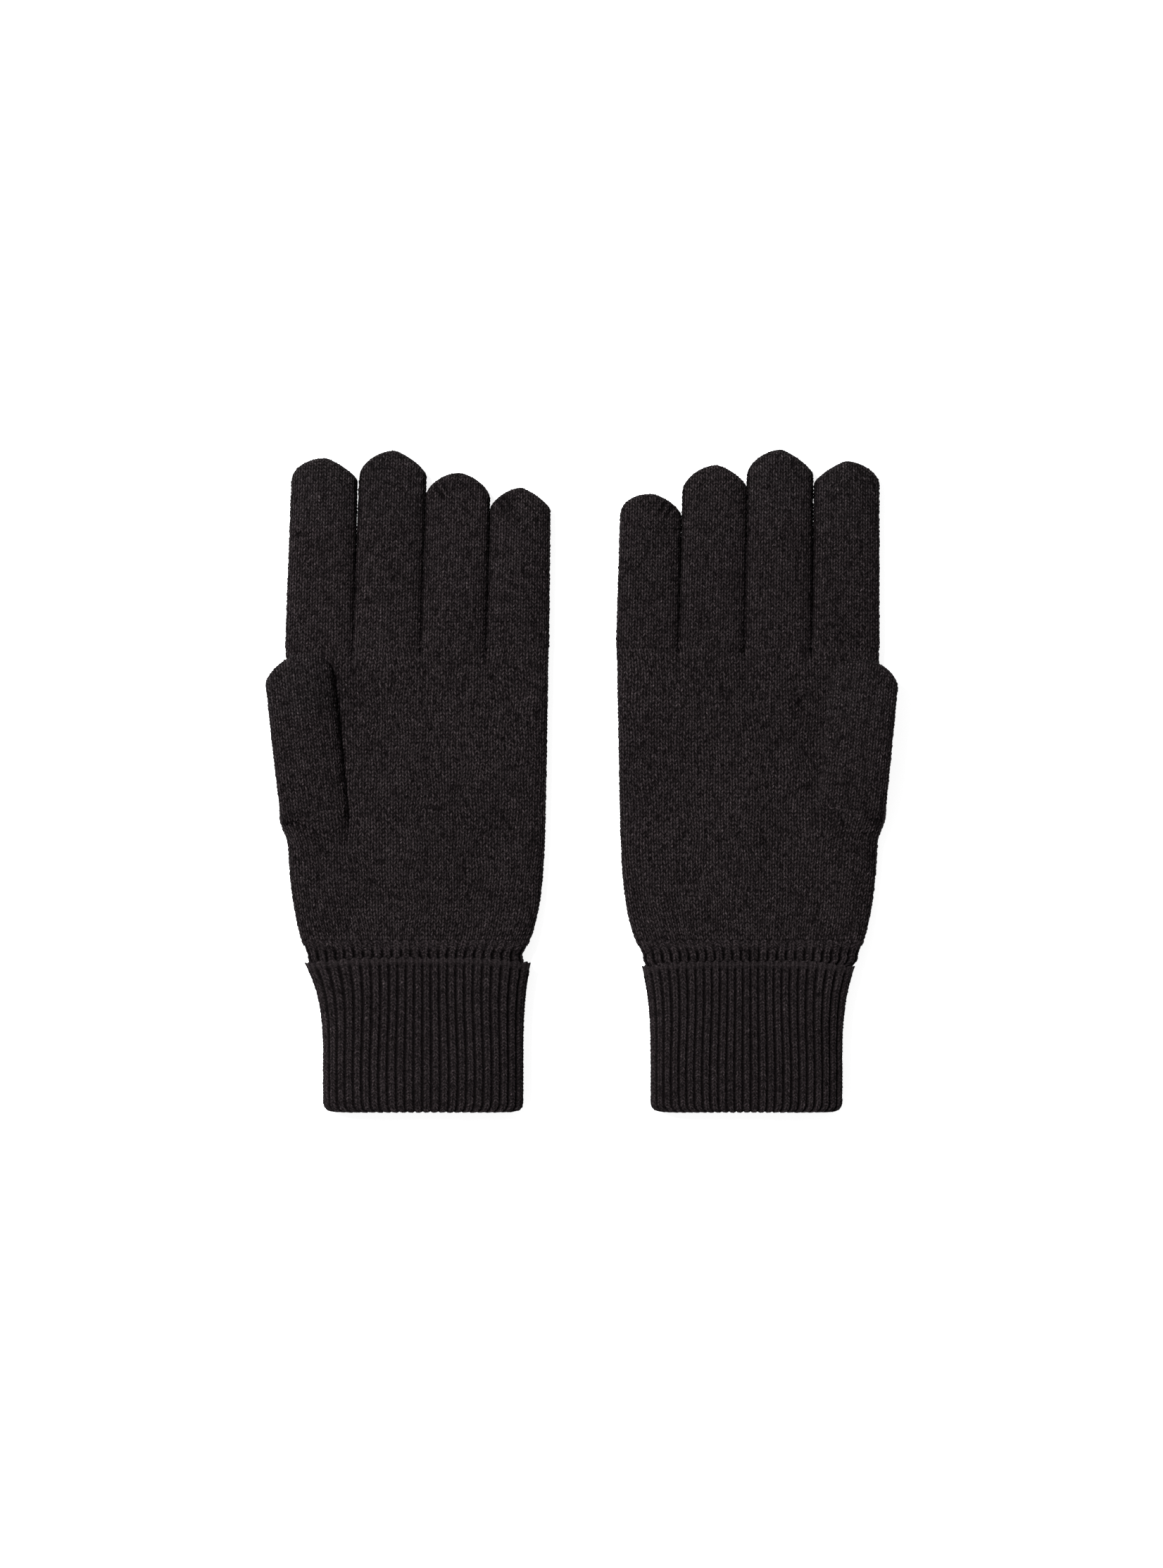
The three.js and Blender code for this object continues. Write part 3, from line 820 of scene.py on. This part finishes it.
# %% Knitting a digit
# painted shade where a finger touches its neighbours: LEANING says which sides touch, LEAN_SHADE how much
# darker
LEANING = per_digit((1, 0), (1, 1), (1, 1), (0, 1), (0, 0))  # which sides touch, from the thumb's side
SEAM_SHADE = (0.7, 0.25)  # how much the tucked first rows of a finger, and of a thumb, darken
LEAN_SHADE = 0.55
LEAN_START = 7 * MM  # above the web, over which that shade sets in
GATHER_SHADE = 0.6
SEAM_FADE = 0.9 * MM  # cloth before the closed line, over which the stitches flatten


def digit_piece(facts, finger, first, last, closed):
    """One stretch of a finger or thumb between two courses, closed at its tip or open at both ends."""
    digit = finger_facts(facts, finger)
    share, place, around = ring_table(digit["half_width"], digit["half_height"], digit["fold"])
    wales = 2 * int(round(around / FINGER_WALE / 2))
    seed = 100 + len(finger) * 31 + first + facts["sign"]
    u, v, relief, v_grid = stitch_grid(wales, first, last, seed)
    way = u / wales
    front = np.where(way < 0.5, 1.0, -1.0)
    across = np.interp(way, share, place)

    def skin(v_rows, inset):
        return digit_surface(facts, digit, finger, across, front, v_rows * FINGER_COURSE, inset)

    outer, left, pleats = skin(v_grid, 0)
    fade = ease(left / SEAM_FADE)
    outer = outer + normals(outer) * ((relief - MEAN_HEIGHT) * fade * STITCH_HEIGHT)[..., None]
    picks = np.linspace(0, len(v) - 1, 2 + int(last - first) // 2).round().astype(int)[::-1]
    inner, inner_left, _ = skin(v_grid[picks], WALL)
    leaning = np.where(across < 0, *LEANING[finger]) * ease((np.abs(across) - 0.86) / 0.12)
    painted_shade = 1 - LEAN_SHADE * leaning[None] * ease(v_grid * FINGER_COURSE / LEAN_START)
    painted_shade = painted_shade * (1 + GATHER_SHADE * np.clip(pleats, -1, 0))
    painted_shade = painted_shade * (1 - SEAM_SHADE[finger == "thumb"] * ease(SLANT - v_grid))
    # painted shade: the crest value is lowered in the gaps, along the closed line of the tip and where cloth
    # is pressed, gathered or tucked
    crest = relief * (0.35 + 0.65 * fade) * painted_shade
    crest = np.concatenate([crest, np.full(inner.shape[:2], INNER_TONE)])
    points = np.concatenate([outer, inner])
    v_all = np.concatenate([v_grid, v_grid[picks]])
    merged = None
    rims = (len(outer) - 1, len(points) - 1)
    if closed:
        order = np.concatenate([np.arange(len(outer))[::-1], len(outer) + np.arange(len(inner))[::-1]])
        points, crest, v_all = points[order], crest[order], v_all[order]
        merged = np.concatenate([left, inner_left])[order] <= 0
        rims = (len(outer) - 1,)
    uv = with_last_column(u, v_all, wales)
    return to_pair(facts, points), uv, crest, merged, rims


print("courses from the crotch to the tip:", round(example["length"] / FINGER_COURSE))

# %% [markdown]
# ## Every digit and its pieces
# The root bends from the hand and the next stretch bends over the knuckle; both are made in place,
# with their transforms baked into their meshes. A tip of touch yarn is on one body and simply rides.

# %% Every digit and its pieces
SPARE_COURSES = 3  # past the closed line, so that the last row is surely beyond it


def make_digit(facts, finger):
    """Builds the pieces of one digit, each with its yarn; only a tip of touch yarn is put on a body."""
    side = facts["side"]
    digit = finger_facts(facts, finger)
    name = f"{side}_{finger}"
    touch = f"{name}_touch_tip" in frame["nodes"]
    middle = int(round((digit["root"] + digit["knuckle"]) / 2 / FINGER_COURSE))
    top = int(np.ceil((digit["length"] + 2 * digit["half_height"]) / FINGER_COURSE)) + SPARE_COURSES
    cuts = [-2, middle, top]
    if touch:
        edge = to_glove(facts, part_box(f"{name}_touch_tip")[0])[1] - digit["crotch"][1]
        cuts.insert(2, int(round(edge / digit["along"][1] / FINGER_COURSE)))

    def stretch(part, first, last, closed=False):
        points, uv, crest, merged, rims = digit_piece(facts, finger, first, last, closed)
        mirrored = facts["sign"] < 0
        return grid_mesh(f"{name}_{part}_knit", points, uv, crest, mirrored, not closed, merged, rims)

    base = stretch("root", cuts[0], cuts[1])
    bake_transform(base)
    finish_piece(base, JERSEY, f"{name}_lower")

    end_part = stretch("length", cuts[1], cuts[2], closed=not touch)
    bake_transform(end_part)
    finish_piece(end_part, JERSEY, f"{name}_upper")

    if touch:
        tip = stretch("tip", cuts[2], cuts[3], closed=True)
        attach(tip, f"{name}_end")
        finish_piece(tip, TOUCH, f"{name}_touch_tip")


for facts in GLOVES:
    for finger in DIGITS:
        make_digit(facts, finger)
print("digits:", len(triangles), "pieces,", sum(triangles.values()), "triangles so far")

# %% [markdown]
# ## The ribbed wrist
# Below the hand the tube goes on as rib: one knit wale stands proud, the purl wale beside it sinks back.
# The rib runs down as an inner layer, turns at the fold and comes back up outside as the cuff, whose
# free edge rolls outwards a little. A rib's section is a wide crest, 1 - |2c|^3.2, with the two legs of
# its knit stitches on it as a fine V pattern.

# %% The section of a rib
RIB_MEAN = 0.75  # shares of rib height and of stitch height at which the surface of the piece lies
RIB_STITCH_MEAN = 0.4
RIB_SPREAD = 0.2  # how much the heights of the legs of rib stitches differ
RIB_INNER_TONE = 0.5
PURL_START = 0.42  # where the purl wale starts, in ribs from the middle of the knit wale
LEG_MIDDLE = 0.19  # where the middle of a leg lies, likewise


def rib_grid(ribs, rows, seed):
    """Rib and course coordinates, the share of rib height and of stitch height, and the zigzag rows.

    Height of a leg is sqrt(1 - 0.8 q^2 - 0.8 r^2), and a purl bump is half as high and only rounded
    along the rib. Here c is the distance from the middle of the knit wale, in ribs."""
    rng = np.random.default_rng(seed)
    u = np.arange(ribs * RIB_COLUMNS) / RIB_COLUMNS
    c = np.abs((u + 0.5) % 1 - 0.5)
    crest = 1 - (2 * c) ** 3.2
    v = np.arange(rows * COURSE_ROWS + 1) / COURSE_ROWS
    q = np.clip(c / LEG_MIDDLE - 1, -1, 1)
    r = 2 * ((v + 1e-6) % 1) - 1
    leg = np.sqrt(np.clip(1 - 0.8 * q[None] ** 2 - 0.8 * r[:, None] ** 2, 0, 1)) * (c < PURL_START)[None]
    purl = np.sqrt(np.clip(1 - 0.8 * (2 * ((v + 0.5) % 1) - 1) ** 2, 0, 1))
    purl = purl[:, None] * (c > PURL_START)[None]
    legs = rng.normal(1, RIB_SPREAD, (len(v) // COURSE_ROWS + 2, 2 * ribs + 1))
    row_of = np.floor(v + 1e-6).astype(int)
    leg_of = np.floor(2 * u + 0.5 + 1e-6).astype(int)
    stitch = (leg + 0.5 * purl) * np.clip(legs[row_of[:, None], leg_of[None]], 0.5, 1.4)
    stitch = np.clip(stitch + rng.normal(0, 1.4 * UNEVEN, stitch.shape), 0, 1.6)
    v_grid = v[:, None] + (SLANT * np.minimum(c / 0.38, 1))[None]
    return u, v, np.broadcast_to(crest, stitch.shape), stitch, v_grid


print("rib height round one rib:", np.round(rib_grid(1, 1, 0)[2][0], 2))

# %% [markdown]
# ## The sides of the wrist
# The cuff lies flat and flares towards its free edge, more on the side of the thumb. Both rib layers are
# placed between two edges at each height, so one function lays out the ribs for both.

# %% The sides of the wrist
FLARE_LENGTH = 40 * MM
CUFF_FLARE = {"left": (7.4 * MM, 3.1 * MM), "right": (5.1 * MM, 3.6 * MM)}  # towards thumb, little finger


def cuff_sides(facts, y, inset):
    """Straight thumb edge and little-finger edge of the cuff, and how far each flares out at height y.

    A flare grows as the 3.2nd power of the share of FLARE_LENGTH, and is full at the free edge."""
    thumb_edge, little_edge = facts["cuff_edges"]
    flare = np.clip(1 - (facts["edge"] - y) / FLARE_LENGTH, 0, 1.1) ** 3.2
    thumb_flare, little_flare = CUFF_FLARE[facts["side"]]
    low = thumb_edge + thumb_flare + inset
    high = little_edge - little_flare - inset
    return low, high, thumb_flare * flare, little_flare * flare


def cuff_points(facts, way, across, y, low_edge, high_edge, height, flares=(0, 0)):
    """Points of a rib layer between two edges at height y, centred on the level of the wrist.

    A flare spreads the ribs by the cube of their place across, so that only the outer ones fan out."""
    front = np.where(way < 0.5, 1.0, -1.0)
    half_width = (high_edge - low_edge) / 2
    x = (high_edge + low_edge) / 2 + across * half_width
    x = x + np.where(across > 0, flares[1], -flares[0]) * np.abs(across) ** 3
    z = facts["cuff_height"] / 2 + front * height * profile(across, power_for(half_width))
    return np.stack([x, y + 0 * x, z], -1)


for facts in GLOVES:
    sides = np.array(cuff_sides(facts, facts["edge"], 0))
    print(facts["side"], "free edge, its two sides and flares in mm:", np.round(sides / MM, 1))

# %% [markdown]
# ## The inner layer
# It starts under the last courses of jersey, where its ribs are still flat, narrows into the cuff and ends
# just inside the fold, so it can be seen only above the free edge and in the opening.

# %% The inner layer
RIB_START = 6.0 * MM  # above the wrist line, where the jersey turns to rib
CUFF_KNIT = 2.0 * MM  # thickness of the turned layer
CUFF_SLIP = 1.0 * MM  # room between the layers, at the sides and at the fold
RIB_GAP = 0.7 * MM  # how much narrower than the jersey the rib starts
RIB_FADE_START = 1.2  # course where the ribs begin to rise, and how many they take to do it
RIB_FADE_LENGTH = 2.5
INNER_ROWS = 12  # rows of the plain skin on the other side of a rib layer


def inner_cuff(facts):
    """The rib from the end of the jersey down to just inside the fold.

    Its edges change by an ease from those of the hand to those of the cuff, less the turned layer."""
    mean = (facts["cuff_edges"][1] - facts["cuff_edges"][0]) / 2
    half = facts["thickness"] / 2
    share, place, around = ring_table(mean, half, power_for(mean))
    ribs = 2 * int(round(around / RIB_PITCH[facts["side"]] / 2))
    top = -facts["length"] + RIB_START
    bottom = facts["fold"] + CUFF_KNIT + CUFF_SLIP
    rows = int(round((top - bottom) / RIB_COURSE))
    u, v, crest, stitch, v_grid = rib_grid(ribs, rows, 41 + facts["sign"])
    drift = 0.12 * np.sin(2 * np.pi * 3 * u / ribs)[None] * np.sin(v_grid * 0.13)

    def skin(v_rows, drift, inset):
        y = top - v_rows * (top - bottom) / rows
        little, outer = hand_edges(facts, np.maximum(y, -facts["length"]))
        sides = cuff_sides(facts, np.minimum(y, facts["edge"]), CUFF_KNIT + CUFF_SLIP)
        low, high, low_flare, high_flare = sides
        low = low - low_flare
        high = high + high_flare
        mix = ease((y - facts["edge"] + 2 * MM) / (5 * MM))
        low = low + (outer + RIB_GAP - low) * mix
        high = high + (little - RIB_GAP - high) * mix
        way = ((u[None] + drift) / ribs) % 1
        across = np.interp(way, share, place)
        return cuff_points(facts, way, across, y, low + inset, high - inset, half - inset)

    outer = skin(v_grid, drift, 0)
    crest = 1 - (1 - crest) * ease((v - RIB_FADE_START) / RIB_FADE_LENGTH)[:, None]
    lift = (crest - RIB_MEAN) * RIB_HEIGHT + (stitch - RIB_STITCH_MEAN) * RIB_STITCH_HEIGHT
    outer = outer - normals(outer) * lift[..., None]
    picks = np.linspace(0, len(v) - 1, INNER_ROWS).round().astype(int)[::-1]
    inner = skin(v_grid[picks], drift[picks], WALL)
    points = np.concatenate([outer, inner])
    # painted shade: darker in the purl grooves and between the legs, by their height
    lit_share = np.concatenate([(0.15 + 0.95 * stitch) * crest, np.full(inner.shape[:2], RIB_INNER_TONE)])
    uv = with_last_column(u, np.concatenate([v_grid, v_grid[picks]]), ribs)
    return to_pair(facts, points), uv, lit_share


for facts in GLOVES:
    side = facts["side"]
    points, uv, lit_share = inner_cuff(facts)
    piece = grid_mesh(f"{side}_inner_rib_knit", points, uv, lit_share, facts["sign"] > 0)
    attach(piece, "hands")
    finish_piece(piece, RIB, f"{side}_inner_cuff")
    print(piece.name, "grid", points.shape[:2])

# %% [markdown]
# ## The turned cuff
# The cuff is one closed path: down the outside, round the fold and back up inside. Its free edge is
# bound off, which makes a small roll of loops with a groove below it, and stands in a shallow arch.

# %% The turned cuff
CUFF_CORNER = 3.5 * MM  # radius of the corners at the two ends of the fold
EDGE_ARCH = 2.6 * MM  # how much higher the free edge stands in the middle than at its two sides
ARCH_LENGTH = 14 * MM
ROLL = (0.6 * MM, 1.5 * MM, 1.2 * MM)  # height, way down and half width of the bound-off edge
GROOVE = (0.35 * MM, 3.8 * MM, 0.7 * MM)
SIDE_MARGIN = 0.35 * MM  # room for the relief inside the plain solid's box, at the sides and on top
TOP_MARGIN = 0.3 * MM
RIBS_FROM = 2.4 * MM  # way down where the ribs begin to rise, and over how much
RIBS_OVER = 1.4 * MM


def bell(way_down, shape):
    """A rise h * exp(-((way down - m) / w)^2), with h, m and w given by shape."""
    height, middle, width = shape
    return height * np.exp(-(((way_down - middle) / width) ** 2))


def turned_cuff(facts):
    """The rib folded up outside: one closed path from the free edge down, round the fold and back inside.

    Past the start of the fold, with a the angle turned, y = fold + turn (1 - sin a) and the layer lies
    turn (1 - cos a) deeper. The loops of the bound edge are two rounded bumps in each rib."""
    middle = facts["cuff_height"] / 2
    mean = (facts["cuff_edges"][1] - facts["cuff_edges"][0]) / 2
    share, place, around = ring_table(mean, middle, power_for(mean))
    ribs = 2 * int(round(around / RIB_PITCH[facts["side"]] / 2))
    length = facts["edge"] - facts["fold"]
    turn = CUFF_KNIT / 2
    rows = int(round((length - turn + np.pi * turn) / RIB_COURSE))
    u, v, crest, stitch, v_grid = rib_grid(ribs, rows, 61 + facts["sign"])
    drift = 0.16 * np.sin(2 * np.pi * 2 * u / ribs)[None] * np.sin(v_grid * 0.11 + 1)

    def skin(way_down, drift, inset):
        past = np.clip((way_down - (length - turn)) / turn, 0, np.pi)
        way = ((u[None] + drift) / ribs) % 1
        across = np.interp(way, share, place)
        arch = EDGE_ARCH * (1 - across**4) * (1 - ease(way_down / ARCH_LENGTH))
        y = np.where(past > 0, facts["fold"] + turn * (1 - np.sin(past)), facts["edge"] - way_down + arch)
        depth = inset + turn * (1 - np.cos(past))
        corner = np.clip(1 - (y - facts["fold"]) / CUFF_CORNER, 0, 1)
        tuck = CUFF_CORNER * (1 - np.sqrt(np.clip(1 - corner**2, 0, 1)))
        low, high, *flares = cuff_sides(facts, y, SIDE_MARGIN + depth)
        height = middle - TOP_MARGIN - depth + bell(way_down, ROLL) - bell(way_down, GROOVE)
        return cuff_points(facts, way, across, y, low + tuck, high - tuck, height, flares)

    way_down = v_grid * (length - turn + np.pi * turn) / rows
    outer = skin(way_down, drift, 0)
    edge_fade = 0.15 + 0.85 * ease((way_down - RIBS_FROM) / RIBS_OVER)
    fold_fade = 1 - 0.55 * ease((way_down - length + 1.2 * MM) / (2 * MM))
    loops = np.sqrt(1 - 0.8 * (4 * u[None] % 2 - 1) ** 2)
    loops = loops * np.sqrt(1 - 0.8 * (2 * way_down / RIB_COURSE % 2 - 1) ** 2)
    stitch = stitch * edge_fade + loops * (1 - edge_fade)
    rib_lift = (crest - RIB_MEAN) * RIB_HEIGHT * edge_fade
    lift = (rib_lift + (stitch - RIB_STITCH_MEAN) * RIB_STITCH_HEIGHT) * fold_fade
    outer = outer - normals(outer) * lift[..., None]
    back = np.linspace(length - 3 * MM, 0.5 * MM, INNER_ROWS)[:, None] + 0 * u[None]
    picks = np.linspace(len(v) - 1, 0, INNER_ROWS).round().astype(int)
    inner = skin(back, drift[picks], CUFF_KNIT)
    points = np.concatenate([outer, inner])
    # painted shade: darker in the purl grooves and between the legs; the bound-off edge, without grooves, is
    # lighter
    lit_share = 0.2 + 0.8 * stitch * (1 - (1 - crest) * edge_fade)
    lit_share = np.concatenate([lit_share, np.full(inner.shape[:2], RIB_INNER_TONE)])
    uv = with_last_column(u, np.concatenate([v_grid, back / RIB_COURSE]), ribs)
    return to_pair(facts, points), uv, lit_share


for facts in GLOVES:
    side = facts["side"]
    points, uv, lit_share = turned_cuff(facts)
    piece = grid_mesh(f"{side}_turned_rib_knit", points, uv, lit_share, facts["sign"] > 0)
    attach(piece, f"{side}_cuff_turn_up")
    finish_piece(piece, RIB, f"{side}_turned_cuff")
print("all pieces:", len(triangles), "triangles", sum(triangles.values()), "largest", max(triangles.values()))

# %% [markdown]
# ## The table
# The gloves lie on a plain white light table, which washes their shadows out, so its surface glows a
# little. It lies just under the lowest stitches, which stand a little proud of the plain solids.

# %% The table
TABLE_LEVEL = -0.6 * MM
TABLE_CORNERS = ((-3, -3), (3, -3), (3, 3), (-3, 3))
mesh = bpy.data.meshes.new("table_top")
mesh.from_pydata([(x, y, TABLE_LEVEL) for x, y in TABLE_CORNERS], [], [(0, 1, 2, 3)])
table = bpy.data.objects.new("table_top", mesh)
bpy.context.scene.collection.objects.link(table)
paint = bpy.data.materials.new("white table")
paint.use_nodes = True
surface = paint.node_tree.nodes["Principled BSDF"]
surface.inputs["Base Color"].default_value = (0.9, 0.9, 0.9, 1)
surface.inputs["Roughness"].default_value = 0.9
surface.inputs["Specular IOR Level"].default_value = 0.0
surface.inputs["Emission Color"].default_value = (1, 1, 1, 1)
surface.inputs["Emission Strength"].default_value = 0.8
mesh.materials.append(paint)
print("table at", TABLE_LEVEL / MM, "mm")

# %% [markdown]
# ## Light and camera
# One big soft lamp from the upper left models the stitches, and a pale sky fills the rest. The camera
# hangs straight above with a long lens, so that the gloves are seen almost without perspective.

# %% Light and camera
world = bpy.data.worlds.new("studio")
world.use_nodes = True
world.node_tree.nodes["Background"].inputs["Color"].default_value = (1, 1, 1, 1)
world.node_tree.nodes["Background"].inputs["Strength"].default_value = 0.29
bpy.context.scene.world = world

lamp = bpy.data.lights.new("key", "AREA")
lamp.shape = "DISK"
lamp.size = 0.6
lamp.energy = 68
key = bpy.data.objects.new("key", lamp)
key.location = (-1.0, 0.7, 1.75)
key.rotation_mode = "QUATERNION"
key.rotation_quaternion = (-Vector(key.location)).to_track_quat("-Z", "Y")
bpy.context.scene.collection.objects.link(key)

lens = bpy.data.cameras.new("camera")
lens.lens = 100
lens.sensor_width = 36
VIEW_SIZE = 595.5 * MM  # longer side of what the camera sees at the level of the gloves
AIM = -1.1 * MM
CLOTH_LEVEL = 8 * MM
camera = bpy.data.objects.new("camera", lens)
camera.location = (0, AIM, VIEW_SIZE * lens.lens / lens.sensor_width + CLOTH_LEVEL)
bpy.context.scene.collection.objects.link(camera)
bpy.context.scene.camera = camera
bpy.context.scene.view_settings.view_transform = "Standard"
print("camera", round(camera.location.z, 3), "m above the table, lamp", [round(c, 2) for c in key.location])
